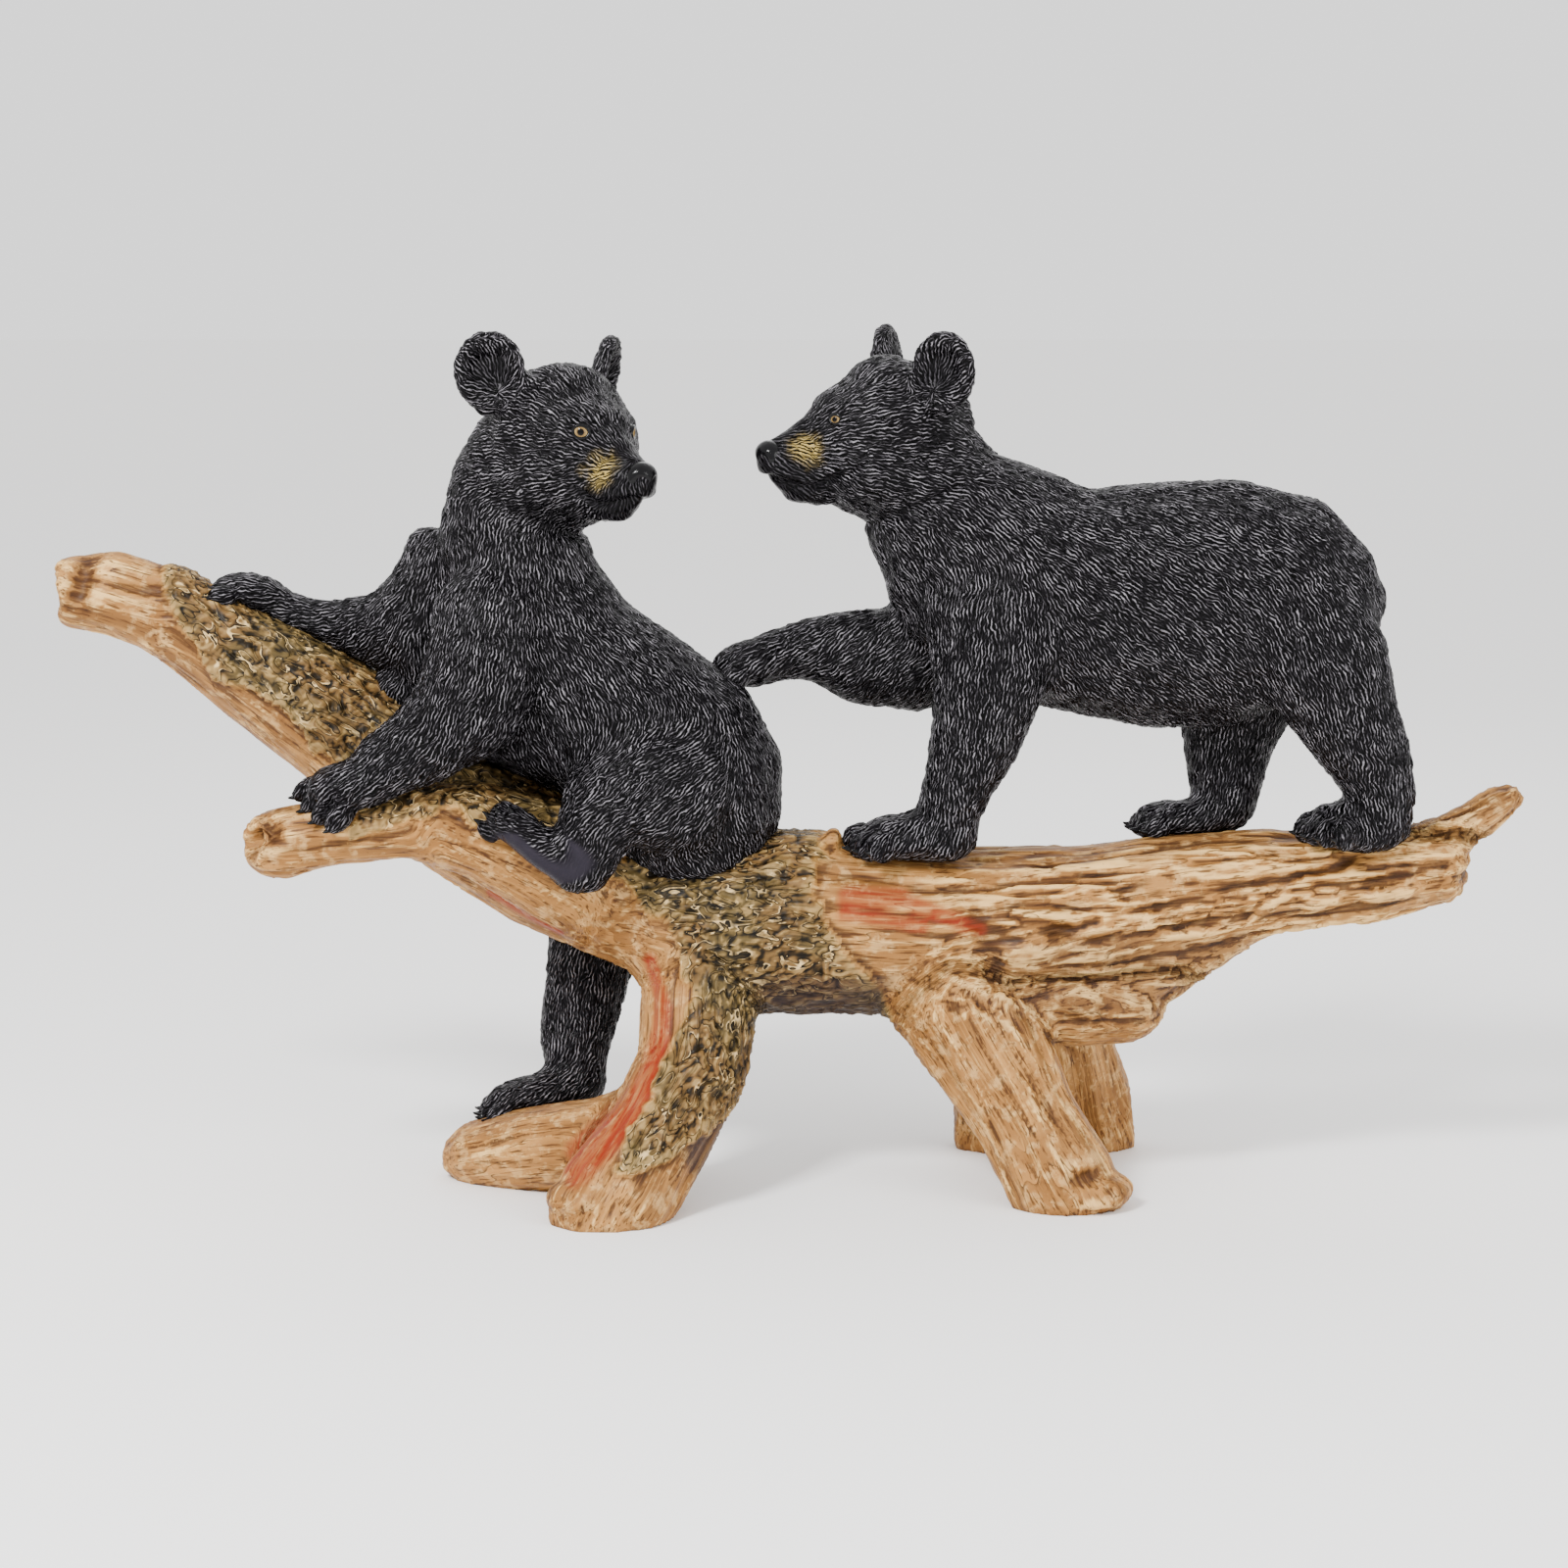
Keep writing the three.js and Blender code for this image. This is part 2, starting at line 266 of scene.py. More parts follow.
class Nodes:
    def __init__(self, name):
        self.material = bpy.data.materials.new(name)
        self.material.use_nodes = True
        self.tree = self.material.node_tree
        self.tree.nodes.clear()
        self.shader = self.tree.nodes.new("ShaderNodeBsdfPrincipled")
        output = self.tree.nodes.new("ShaderNodeOutputMaterial")
        self.tree.links.new(self.shader.outputs[0], output.inputs[0])
        self.place = self.tree.nodes.new("ShaderNodeTexCoord").outputs["Object"]

    def put(self, socket, value):
        if isinstance(value, bpy.types.NodeSocket):
            self.tree.links.new(value, socket)
        else:
            socket.default_value = value

    def maths(self, operation, a, b=0.0):
        node = self.tree.nodes.new("ShaderNodeMath")
        node.operation = operation
        self.put(node.inputs[0], a)
        self.put(node.inputs[1], b)
        return node.outputs[0]

    def span(self, value, low, high, outLow=0.0, outHigh=1.0):
        node = self.tree.nodes.new("ShaderNodeMapRange")
        node.interpolation_type = "SMOOTHSTEP"
        for socket, v in zip(node.inputs, (value, low, high, outLow, outHigh)):
            self.put(socket, v)
        return node.outputs[0]

    def mix(self, factor, a, b):
        node = self.tree.nodes.new("ShaderNodeMix")
        node.data_type = "RGBA"
        self.put(node.inputs[0], factor)
        self.put(node.inputs[6], a)
        self.put(node.inputs[7], b)
        return node.outputs[2]

    def layer(self, under, value, limits, colour):
        # a coat of colour, as thick as the value asks: from, to, share at each
        return self.mix(self.span(value, *limits), under, colour)

    def attribute(self, name, vector=False):
        node = self.tree.nodes.new("ShaderNodeAttribute")
        node.attribute_name = name
        return node.outputs["Vector" if vector else "Fac"]

    def noise(self, size, detail=3.0, roughness=0.55, vector=None):
        node = self.tree.nodes.new("ShaderNodeTexNoise")
        self.put(node.inputs["Vector"], vector or self.place)
        node.inputs["Scale"].default_value = 1 / (size * mm)
        node.inputs["Detail"].default_value = detail
        node.inputs["Roughness"].default_value = roughness
        return node.outputs[0]

    def flakes(self, size, steps, swirl, vector=None):
        # rises slowly and drops at once, like overlapping chips
        node = self.tree.nodes.new("ShaderNodeTexNoise")
        self.put(node.inputs["Vector"], vector or self.place)
        node.inputs["Scale"].default_value = 1 / (size * mm)
        node.inputs["Detail"].default_value = 1
        node.inputs["Roughness"].default_value = 0.35
        node.inputs["Distortion"].default_value = swirl
        return self.maths("FRACT", self.maths("MULTIPLY", node.outputs[0], steps))

    def noiseVector(self, size):
        node = self.tree.nodes.new("ShaderNodeTexNoise")
        self.put(node.inputs["Vector"], self.place)
        node.inputs["Scale"].default_value = 1 / (size * mm)
        return self.vectorMaths("SUBTRACT", node.outputs[1], (0.5, 0.5, 0.5))

    def vectorMaths(self, operation, a, b):
        node = self.tree.nodes.new("ShaderNodeVectorMath")
        node.operation = operation
        self.put(node.inputs[0], a)
        self.put(node.inputs["Scale"] if operation == "SCALE" else node.inputs[1], b)
        return node.outputs[0]

    def strands(self, length, width, across, place):
        # fine parallel hairs, counted in the direction across them
        node = self.tree.nodes.new("ShaderNodeTexGabor")
        node.gabor_type = "3D"
        self.put(node.inputs["Vector"], place)
        node.inputs["Scale"].default_value = 1 / (length * mm)
        node.inputs["Frequency"].default_value = length / width
        node.inputs["Anisotropy"].default_value = 1.0
        self.put(node.inputs[-1], across)
        return node.outputs["Value"]

    def bump(self, height, distance, strength=1.0, under=None):
        node = self.tree.nodes.new("ShaderNodeBump")
        self.put(node.inputs["Height"], height)
        self.put(node.inputs["Strength"], strength)
        node.inputs["Distance"].default_value = distance * mm
        if under:
            self.put(node.inputs["Normal"], under)
        return node.outputs[0]


def rgb(red, green, blue):
    # an everyday 0 to 255 colour as linear light
    linear = []
    for v in (red, green, blue):
        linear.append(((v / 255 + 0.055) / 1.055) ** 2.4 if v > 10 else v / 255 / 12.92)
    return (*linear, 1)


coatPaint = {
    "hairShade": rgb(0, 0, 0),  # painted shade between the hairs
    "fur": rgb(23, 21, 24),
    "dustAndHighlight": rgb(149, 145, 151),  # dry brushing and painted highlight over the top
    "goldHairShade": rgb(34, 27, 13),
    "gold": rgb(190, 164, 92),
    "padDark": rgb(27, 25, 31),
    "padPale": rgb(45, 41, 49),
    "hair": (7.5, 1.9),  # length and width of a painted hair, in mm
    "thinHair": (4.4, 1.2),
    "hairShare": 0.62,
    "stray": 1.7,
    "sway": 2.4,  # in mm
    "relief": 2.0,  # in mm
    "shine": 0.05,
}


def blackCoat():
    n = Nodes("blackCoat")
    paint = coatPaint
    fur = n.attribute("fur")
    stray = n.vectorMaths("SCALE", n.noiseVector(7.5), paint["stray"])
    across = n.vectorMaths("ADD", n.attribute("across", vector=True), stray)
    place = n.vectorMaths("ADD", n.place, n.vectorMaths("SCALE", n.noiseVector(4), paint["sway"] * mm))
    hair = n.strands(*paint["hair"], across, place)
    thin = n.strands(*paint["thinHair"], across, n.vectorMaths("ADD", place, (0.03, 0.01, 0.02)))
    hair = n.maths("MULTIPLY", hair, paint["hairShare"])
    stroke = n.maths("ADD", hair, n.maths("MULTIPLY", thin, 1 - paint["hairShare"]))
    patch = n.noise(24, 2)
    clump = n.maths("MULTIPLY", n.noise(7, 2), 0.25)
    # the hairs' low parts take the painted shade, the rest the black paint
    coat = n.mix(n.span(stroke, 0.44, 0.58), paint["hairShade"], paint["fur"])
    # dry brushing and painted highlight on the hairs that stand highest; worn here is the mask for both
    worn = n.maths("ADD", n.maths("ADD", n.attribute("lock"), patch), clump)
    worn = n.maths("MULTIPLY", n.span(stroke, 0.52, 0.70), n.span(worn, 0.0, 1.6, 0.3, 0.85))
    dustAndHighlight = n.maths("MULTIPLY", worn, n.span(fur, 0.1, 0.75, 0.12, 1.0))
    coat = n.mix(dustAndHighlight, coat, paint["dustAndHighlight"])
    # painted shade between the gold hairs as well
    goldHair = n.mix(n.span(stroke, 0.42, 0.60), paint["goldHairShade"], paint["gold"])
    broken = n.span(n.maths("ADD", stroke, n.noise(3.0)), 0.75, 1.2, 0.1, 0.9)
    coat = n.mix(n.maths("MULTIPLY", n.attribute("gold"), broken), coat, goldHair)
    pad = n.mix(n.noise(9), paint["padDark"], paint["padPale"])
    coat = n.mix(n.attribute("pad"), coat, pad)
    n.put(n.shader.inputs["Base Color"], coat)
    n.put(n.shader.inputs["Roughness"], n.span(patch, 0.3, 0.7, 0.2, 0.32))
    n.put(n.shader.inputs["Specular IOR Level"], paint["shine"])
    n.put(n.shader.inputs["Normal"], n.bump(stroke, paint["relief"], n.span(fur, 0, 1, 0.2, 1.0)))
    return n.material


def glossBlack():
    n = Nodes("glossBlack")
    grain = n.noise(1.6, 2)
    n.put(n.shader.inputs["Base Color"], n.mix(grain, rgb(3, 3, 4), rgb(12, 11, 13)))
    n.put(n.shader.inputs["Roughness"], n.span(grain, 0.3, 0.7, 0.08, 0.16))
    n.put(n.shader.inputs["Normal"], n.bump(grain, 0.25, 0.7))
    n.put(n.shader.inputs["Specular IOR Level"], 0.17)
    return n.material


eyePaint = {
    "pupil": rgb(4, 3, 3),
    "iris": rgb(84, 63, 36),
    "irisEdge": rgb(162, 136, 88),
    "rim": rgb(10, 8, 7),
    "shine": 0.12,
}


def goldEye():
    n = Nodes("goldEye")
    paint = eyePaint
    gaze = n.attribute("gaze")  # 0 in the middle of the pupil, 1 at the rim
    streak = n.noise(0.5, 2)
    ring = n.maths("ADD", gaze, n.maths("MULTIPLY", streak, 0.3))
    colour = n.layer(paint["iris"], ring, (0.45, 0.95), paint["irisEdge"])
    colour = n.mix(n.span(gaze, 0.32, 0.42), paint["pupil"], colour)
    colour = n.layer(colour, gaze, (0.72, 0.9), paint["rim"])
    n.put(n.shader.inputs["Base Color"], colour)
    n.put(n.shader.inputs["Roughness"], n.span(streak, 0.2, 0.8, 0.06, 0.12))
    n.put(n.shader.inputs["Specular IOR Level"], paint["shine"])
    return n.material


woodPaint = {
    "wood": rgb(136, 92, 46),
    "warmWood": rgb(160, 114, 62),
    "stain": rgb(96, 62, 31),
    "splitHighlight": rgb(190, 138, 76),
    "worn": rgb(208, 168, 110),
    "ridge": rgb(236, 192, 122),
    "groove": rgb(70, 42, 20),
    "deepGroove": rgb(24, 13, 7),
    "hairline": rgb(72, 42, 19),
    "crackAndShadow": rgb(50, 28, 14),
    "speck": rgb(60, 34, 18),
    "red": rgb(130, 36, 12),
    "hollow": rgb(66, 38, 18),
    "shade": rgb(46, 34, 34),
    "shine": 0.12,
}

barkPaint = {
    "olive": rgb(88, 72, 41),
    "brown": rgb(110, 82, 46),
    "groove": rgb(14, 11, 6),
    "ridge": rgb(168, 138, 86),
    "edge": rgb(222, 190, 134),
    "crackAndShadow": rgb(9, 7, 4),
    "line": rgb(32, 26, 14),
    "lip": rgb(176, 128, 60),
}


def paintedWood():
    n = Nodes("paintedWood")
    paint = woodPaint
    rindPaint = barkPaint
    grain = n.attribute("grain", vector=True)
    relief = n.attribute("relief")
    bark = n.attribute("bark")
    fine = n.noise(2.2, 4, 0.62, grain)
    hairline = n.noise(1.1, 2, 0.5, grain)
    broad = n.noise(16, 3, 0.5, grain)
    cloudy = n.noise(34, 2)
    speck = n.noise(1.9, 3)
    blot = n.noise(8, 4, 0.6)
    split = n.flakes(11, 7, 0.2, grain)
    streak = n.maths("MULTIPLY", n.maths("SUBTRACT", fine, 0.5), 1.8)
    tone = n.maths("ADD", n.maths("MULTIPLY", relief, 0.85), streak)

    wood = n.mix(n.span(cloudy, 0.38, 0.62), paint["wood"], paint["warmWood"])
    wood = n.layer(wood, broad, (0.46, 0.66, 0, 0.6), paint["stain"])
    # lighter towards the crest of each split step: painted highlight
    wood = n.layer(wood, split, (0.55, 0.9, 0, 0.4), paint["splitHighlight"])
    wood = n.layer(wood, blot, (0.50, 0.66, 0, 0.55), paint["worn"])
    # raised wood painted lighter as painted highlight; grooves painted darker, a dark wash together with
    # painted shade
    wood = n.layer(wood, tone, (0.15, 1.0, 0, 0.8), paint["ridge"])
    wood = n.layer(wood, tone, (-0.7, -0.15, 0.85, 0), paint["groove"])
    wood = n.layer(wood, tone, (-1.1, -0.65, 0.95, 0), paint["deepGroove"])
    wood = n.layer(wood, hairline, (0.34, 0.43, 0.8, 0), paint["hairline"])
    # dark cracks with painted shadow at the foot of each split step
    crackAndShadow = n.maths("MULTIPLY", n.span(split, 0.0, 0.08, 1, 0), n.span(blot, 0.4, 0.55))
    wood = n.mix(n.maths("MULTIPLY", crackAndShadow, 0.8), wood, paint["crackAndShadow"])
    wood = n.layer(wood, speck, (0.68, 0.74, 0, 0.7), paint["speck"])
    redness = n.maths("MULTIPLY", n.attribute("red"), n.span(tone, -0.6, 0.4, 0.95, 0.55))
    wood = n.mix(redness, wood, paint["red"])
    # painted shade in the carved hollows
    hollow = n.maths("MULTIPLY", n.attribute("hollow"), n.span(fine, 0.35, 0.6, 0.75, 0.2))
    wood = n.mix(hollow, wood, paint["hollow"])

    # the bark's flakes are drawn out a little along the limbs
    drawn = n.vectorMaths("ADD", n.vectorMaths("SCALE", n.place, 0.4), n.vectorMaths("SCALE", grain, 0.6))
    curl = n.flakes(6.2, 4, 1.1, drawn)
    rind = n.mix(n.span(cloudy, 0.4, 0.6), rindPaint["olive"], rindPaint["brown"])
    # bark darker in its grooves as painted shade, lighter on its ridges as dry brushing with painted
    # highlight
    rind = n.layer(rind, relief, (-0.8, 0.2, 0.95, 0), rindPaint["groove"])
    rind = n.layer(rind, relief, (0.2, 0.9, 0, 0.6), rindPaint["ridge"])
    # each flake's crest takes dry brushing and painted highlight
    edge = n.maths("MULTIPLY", n.span(curl, 0.80, 0.95), n.span(blot, 0.44, 0.62, 0, 0.8))
    rind = n.mix(edge, rind, rindPaint["edge"])
    # dark crevices with painted shadow below each flake's edge
    rind = n.layer(rind, curl, (0.0, 0.3, 1.0, 0), rindPaint["crackAndShadow"])
    rind = n.layer(rind, fine, (0.34, 0.46, 0.6, 0), rindPaint["line"])

    wood = n.mix(bark, wood, rind)
    wood = n.mix(n.maths("MULTIPLY", n.attribute("lip"), 0.4), wood, rindPaint["lip"])
    wood = n.mix(n.maths("MULTIPLY", n.attribute("shade"), 0.9), wood, paint["shade"])
    n.put(n.shader.inputs["Base Color"], wood)
    n.put(n.shader.inputs["Roughness"], n.span(fine, 0.3, 0.7, 0.38, 0.58))
    under = n.bump(fine, 0.7, n.span(bark, 0, 1, 0.7, 0.1))
    under = n.bump(split, 0.7, n.span(bark, 0, 1, 0.9, 0), under)
    n.put(n.shader.inputs["Specular IOR Level"], paint["shine"])
    n.put(n.shader.inputs["Normal"], n.bump(curl, 1.6, bark, under))
    return n.material


materials = {"coat": blackCoat(), "gloss": glossBlack(), "eye": goldEye(), "wood": paintedWood()}
print("materials are mixed")


def finishPiece(piece, material):
    piece.data.materials.clear()
    piece.data.materials.append(material)
    selectOnly(piece)
    bpy.ops.object.shade_smooth()
    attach(piece, "root")


coat = {
    "coarse": 3.0,  # first skin, in mm
    "rounds": 110,  # of smoothing
    "head": {"rounds": 12, "near": 58, "far": 80},  # kept sharper, out to these distances in mm
    "skin": 1.54,  # last skin, in mm
    "locks": {"length": (8, 15), "width": (3.0, 4.8), "height": (0.6, 1.6), "stray": 0.3, "taper": 0.35},
    "lockCount": 16000,
    "clawLength": 4.6,
    "clawThick": (2.1, 0.5),  # at the root and at the tip
}

# sizes of a head from its middle, in mm: X to the nose, Y to its left, Z up
face = {
    "reach": 79,
    # place, turn and half lengths of the forms along the middle
    "forms": [
        ((50, 0, 2), (0, 12, 0), (27, 9, 7)),  # bridge of the nose
        ((46, 0, 8.5), (0, 32, 0), (23, 9.5, 7.5)),  # slope up to the forehead
        ((51, 0, -25), (0, 0, 0), (15, 9.5, 6)),  # chin
        ((10, 0, 26), (0, 0, 0), (20, 24, 12)),  # crown
    ],
    # the same for the forms on both sides
    "pairs": [
        ((61, 6.5, -12.5), (0, 0, 0), (13.5, 7.5, 7.5)),  # upper lip
        ((-6, 26, 22), (-30, 0, 0), (8, 14, 9)),  # root of the ear
    ],
    "nose": ((72.2, 0, -4.8), (0, 14, 0), (7.2, 8.6, 7.4)),
    "eye": (42, 16.5, 11),
    "mouth": [(75, -15.5), (70, -18.5), (63, -21), (56, -22), (49, -20), (43.5, -16)],
    "mouthGroove": (2.6, 1.8),  # depth and width
    "foreheadSlope": 5.5,
    "ear": (-8, 37.5, 30.5),
    "earTurn": 38,
    "earLean": -12,
    "earRim": (14.2, 3.7),  # radius and thickness
    "earHollow": 3.6,
}

seatedCub = {
    "node": "seated_cub",
    "eyeSize": 4.3,
    "gold": ((56, 13, -5.5), (9.5, 12, 11.5)),  # middle and half lengths of the gold patch
    "head": {"at": (-117, -3, 384), "yaw": -47.5, "pitch": -10, "roll": -2},
    "droop": 0.25,
    "fills": [((-192, 22, 255), (0, -30, 0), (26, 14, 16))],
    "strokes": [
        ((-132, 0, 375), (-138, 0, 330), 36),
        ((-138, 0, 335), (-112, 0, 276), 44),
        ((-112, 0, 276), (-40, 0, 222), 48),
        ((-40, 0, 222), (-10, 0, 180), 40),
        ((-160, 16, 316), (-212, 30, 286), 26),
        ((-212, 30, 286), (-292, 29, 303), 18),
        ((-144, -36, 306), (-160, -44, 250), 30),
        ((-160, -44, 250), (-234, -42, 208), 22),
        ((-48, -42, 222), (-92, -52, 205), 30),
        ((-92, -52, 205), (-100, -52, 168), 18),
        ((-100, -50, 168), (-146, -48, 200), 13),
        ((-60, 34, 200), (-99, 56, 126), 30),
        ((-99, 56, 126), (-110, 30, 55), 22),
        ((-108, 26, 50), (-156, 17, 34), 16),
    ],
    "paws": [
        {"at": (-230, -47, 203), "forward": (-0.75, -0.35, -0.5), "side": (-0.45, 0.75, 0.5), "spread": 9.4,
         "toe": (9, 5.2, 6.2)},
        {"at": (-291, 26, 302), "forward": (-1, -0.2, -0.1), "side": (-0.2, 1, 0), "spread": 7.6,
         "toe": (8, 4.3, 5.4)},
        {"at": (-141, -52, 195), "forward": (-0.5, -0.25, 0.8), "side": (0.85, -0.1, -0.4), "spread": 6,
         "toe": (6.5, 3.9, 4.6)},
        {"at": (-151, 16, 33), "forward": (-1, -0.2, -0.25), "side": (-0.3, 1, 0), "spread": 7.2,
         "toe": (8, 4.3, 6)},
    ],
    "soles": [((-126, -58, 178), (34, 14, 14), (-0.45, -0.55, -0.7))],
}

walkingCub = {
    "node": "walking_cub",
    "eyeSize": 3.3,
    "gold": ((56.5, 13, -2.5), (9.5, 12, 9)),
    "head": {"at": (60, -1, 387), "yaw": 200, "pitch": -5, "roll": -2},
    "droop": 0.55,
    "fills": [],
    "strokes": [
        ((66, 0, 372), (98, 0, 338), 38),
        ((98, 0, 345), (270, 0, 315), 52),
        ((270, 0, 320), (300, 0, 250), 34),
        ((104, -32, 300), (88, -26, 200), 28),
        ((86, -21, 190), (38, -21, 178), 15),
        ((90, 22, 290), (38, 28, 270), 26),
        ((38, 28, 270), (-34, 17, 262), 18),
        ((262, -28, 290), (300, -24, 205), 28),
        ((305, -21, 192), (268, -20, 184), 15),
        ((240, 24, 275), (229, 20, 200), 24),
        ((231, 16, 190), (182, 15, 184), 13),
    ],
    "paws": [
        {"at": (42, -24, 180), "forward": (-0.9, -0.4, -0.2), "side": (-0.4, 1, 0), "spread": 9.4,
         "toe": (9, 5.2, 8)},
        {"at": (-30, 15, 261), "forward": (-0.85, -0.2, -0.4), "side": (-0.2, 1, 0.1), "spread": 8.2,
         "toe": (9, 4.6, 6.4)},
        {"at": (272, -27, 187), "forward": (-0.85, -0.5, -0.2), "side": (-0.5, 1, 0), "spread": 9.2,
         "toe": (9, 5.3, 8)},
        {"at": (187, 13, 184), "forward": (-1, -0.2, -0.15), "side": (-0.2, 1, 0), "spread": 7.8,
         "toe": (8, 4.5, 6)},
    ],
    "soles": [],
}


def headMatrix(head):
    return place(head["at"], (head["roll"], -head["pitch"], head["yaw"]))


def earMatrix(hand):
    # the ear's own X faces out of its cup
    x, y, z = face["ear"]
    aside = turned((0, 0, face["earTurn"] * hand))
    return place((x, y * hand, z)) @ aside @ turned((face["earLean"] * hand, 0, 0))


def addFace(piece, headFrame):
    rim, thick = face["earRim"]
    upright = turned((0, 90, 0)) @ Matrix.Diagonal((1.14, 0.94, 1, 1))
    extras = [ball(headFrame @ place(at, turn), size) for at, turn, size in face["forms"]]
    for hand in (-1, 1):
        for (x, y, z), (tip, turn, spin), size in face["pairs"]:
            extras.append(ball(headFrame @ place((x, y * hand, z), (tip * hand, turn, spin)), size))
        bpy.ops.object.select_all(action="DESELECT")
        bpy.ops.mesh.primitive_torus_add(major_radius=rim * mm, minor_radius=thick * mm, major_segments=36,
                                         minor_segments=14)
        ring = bpy.context.object
        ring.matrix_world = headFrame @ earMatrix(hand) @ upright
        setPlace(ring)
        extras.append(ring)
    joinTo(piece, extras)


def addToes(piece, paws):
    extras = []
    claws = []
    for paw in paws:
        frameOfPaw = aimed(paw["at"], paw["forward"], paw["side"])
        length, width, height = paw["toe"]
        for i in range(4):
            fan = (i - 1.5) / 1.5
            back = -2.2 * fan * fan  # the outer toes stand back
            toe = frameOfPaw @ place((back, fan * 1.5 * paw["spread"], 0)) @ turned((0, 0, 14 * fan))
            extras.append(ball(toe, (length, width, height), 20, 14))
            claws.append(toe @ place((length * 0.82, 0, height * 0.1)))
    joinTo(piece, extras)
    return claws


def clawFrom(matrix):
    # a short hooked cone
    size = coat["clawLength"]
    root, tip = coat["clawThick"]
    bpy.ops.object.select_all(action="DESELECT")
    bpy.ops.mesh.primitive_cone_add(vertices=12, radius1=root * mm, radius2=tip * mm, depth=size * mm)
    claw = bpy.context.object
    bpy.ops.object.mode_set(mode="EDIT")
    bpy.ops.mesh.select_all(action="SELECT")
    bpy.ops.mesh.subdivide(number_cuts=4)
    bpy.ops.object.mode_set(mode="OBJECT")
    points = pointsOf(claw)
    reach = points[:, 2] / (size * mm) + 0.5
    hooked = points[:, 0] - 0.34 * size * mm * reach ** 2
    setPoints(claw, np.stack([reach * size * mm, points[:, 1] * 0.8, hooked], axis=1))
    claw.matrix_world = matrix
    setPlace(claw)
    bpy.ops.object.mode_set(mode="EDIT")
    bpy.ops.mesh.select_all(action="SELECT")
    bpy.ops.mesh.normals_make_consistent(inside=False)
    bpy.ops.object.mode_set(mode="OBJECT")
    return claw


def localTo(matrix, points):
    # points seen from a frame, in mm
    inverse = np.array(matrix.inverted())
    return (points @ inverse[:3, :3].T + inverse[:3, 3]) / mm


def carveFace(points, normals, headFrame, goldPatch):
    # returns the carved points, how furry each is, and how gold
    local = localTo(headFrame, points)
    fur = np.ones(len(points))
    gold = np.zeros(len(points))
    push = np.zeros(len(points))
    x, y, z = local.T
    onHead = np.linalg.norm(local, axis=1) < 96
    push -= face["foreheadSlope"] * np.exp(-(((x - 34) / 13) ** 2 + ((z - 33) / 14) ** 2 + (y / 32) ** 2))

    depth, width = face["mouthGroove"]
    nearest = np.full(len(points), 99.0)
    for (xa, za), (xb, zb) in zip(face["mouth"], face["mouth"][1:]):
        ab = np.array([xb - xa, zb - za])
        t = np.clip(((x - xa) * ab[0] + (z - za) * ab[1]) / (ab @ ab), 0, 1)
        nearest = np.minimum(nearest, np.hypot(x - xa - t * ab[0], z - za - t * ab[1]))
    front = onHead & (x > 40) & (np.abs(y) < 26)
    push -= np.where(front, depth * np.exp(-((nearest / width) ** 2)), 0)
    fur *= 1 - 0.95 * np.where(front & (z < -14), np.exp(-((nearest / 4) ** 2)), 0)
    fur *= 1 - 0.7 * onHead * smoothStep(x, face["reach"] - 36, face["reach"] - 18)

    ex, ey, ez = face["eye"]
    (gx, gy, gz), (sx, sy, sz) = goldPatch
    worn = 0.22 * cloud(points, 0.004, 5)
    for hand in (-1, 1):
        away = np.sqrt((x - ex) ** 2 + (y - ey * hand) ** 2 + (z - ez) ** 2)
        push -= 1.6 * np.exp(-((away / 6.5) ** 2))
        fur *= 1 - 0.8 * np.exp(-((away / 6) ** 2))
        away = np.sqrt(((x - gx) / sx) ** 2 + ((y - gy * hand) / sy) ** 2 + ((z - gz) / sz) ** 2)
        gold = np.maximum(gold, 1 - smoothStep(away + worn, 0.1, 1.2))
        # the hollow of the ear
        earFrame = headFrame @ earMatrix(hand)
        ear = localTo(earFrame, points)
        radius = np.hypot(ear[:, 1], ear[:, 2])
        inner = (1 - smoothStep(radius, 7, 16)) * (ear[:, 0] > -3) * (ear[:, 0] < 12)
        fur *= 1 - 0.7 * inner
        points = points - inner[:, None] * face["earHollow"] * mm * np.array(earFrame)[:3, 0]

    # the ruff of the cheeks stands over the neck
    ruff = np.sqrt(((x - 4) / 47) ** 2 + (y / 45) ** 2 + ((z + 3) / 42) ** 2)
    low = (1 - smoothStep(z, 5, 22)) * smoothStep(x, -26, -4)
    crest = 1.4 * np.exp(-(((ruff - 0.97) / 0.06) ** 2))
    dip = 2.2 * np.exp(-(((ruff - 1.09) / 0.06) ** 2))
    push += low * (crest - dip)
    return points + normals * (push * mm)[:, None], fur, gold


def headFlow(points, headFrame):
    # the fur of the head runs back from the nose, and out of the ears
    local = localTo(headFrame, points)
    turn = np.array(headFrame)[:3, :3]
    fromNose = local - np.array([face["reach"] + 4, 0, -6])
    flow = unit(fromNose) + 0.15 * np.array([0, 0, -1])
    size = np.linalg.norm(local * np.array([0.8, 1, 1]), axis=1)
    weight = 1 - smoothStep(size, 44, 66)
    for hand in (-1, 1):
        ear = local - np.array([face["ear"][0], face["ear"][1] * hand, face["ear"][2]])
        near = 1 - smoothStep(np.linalg.norm(ear, axis=1), 15, 22)
        outward = ear + np.array([0, 10 * hand, 14])
        flow = flow * (1 - near)[:, None] + unit(outward) * near[:, None]
        weight = np.maximum(weight, near)
    return flow @ turn.T, weight


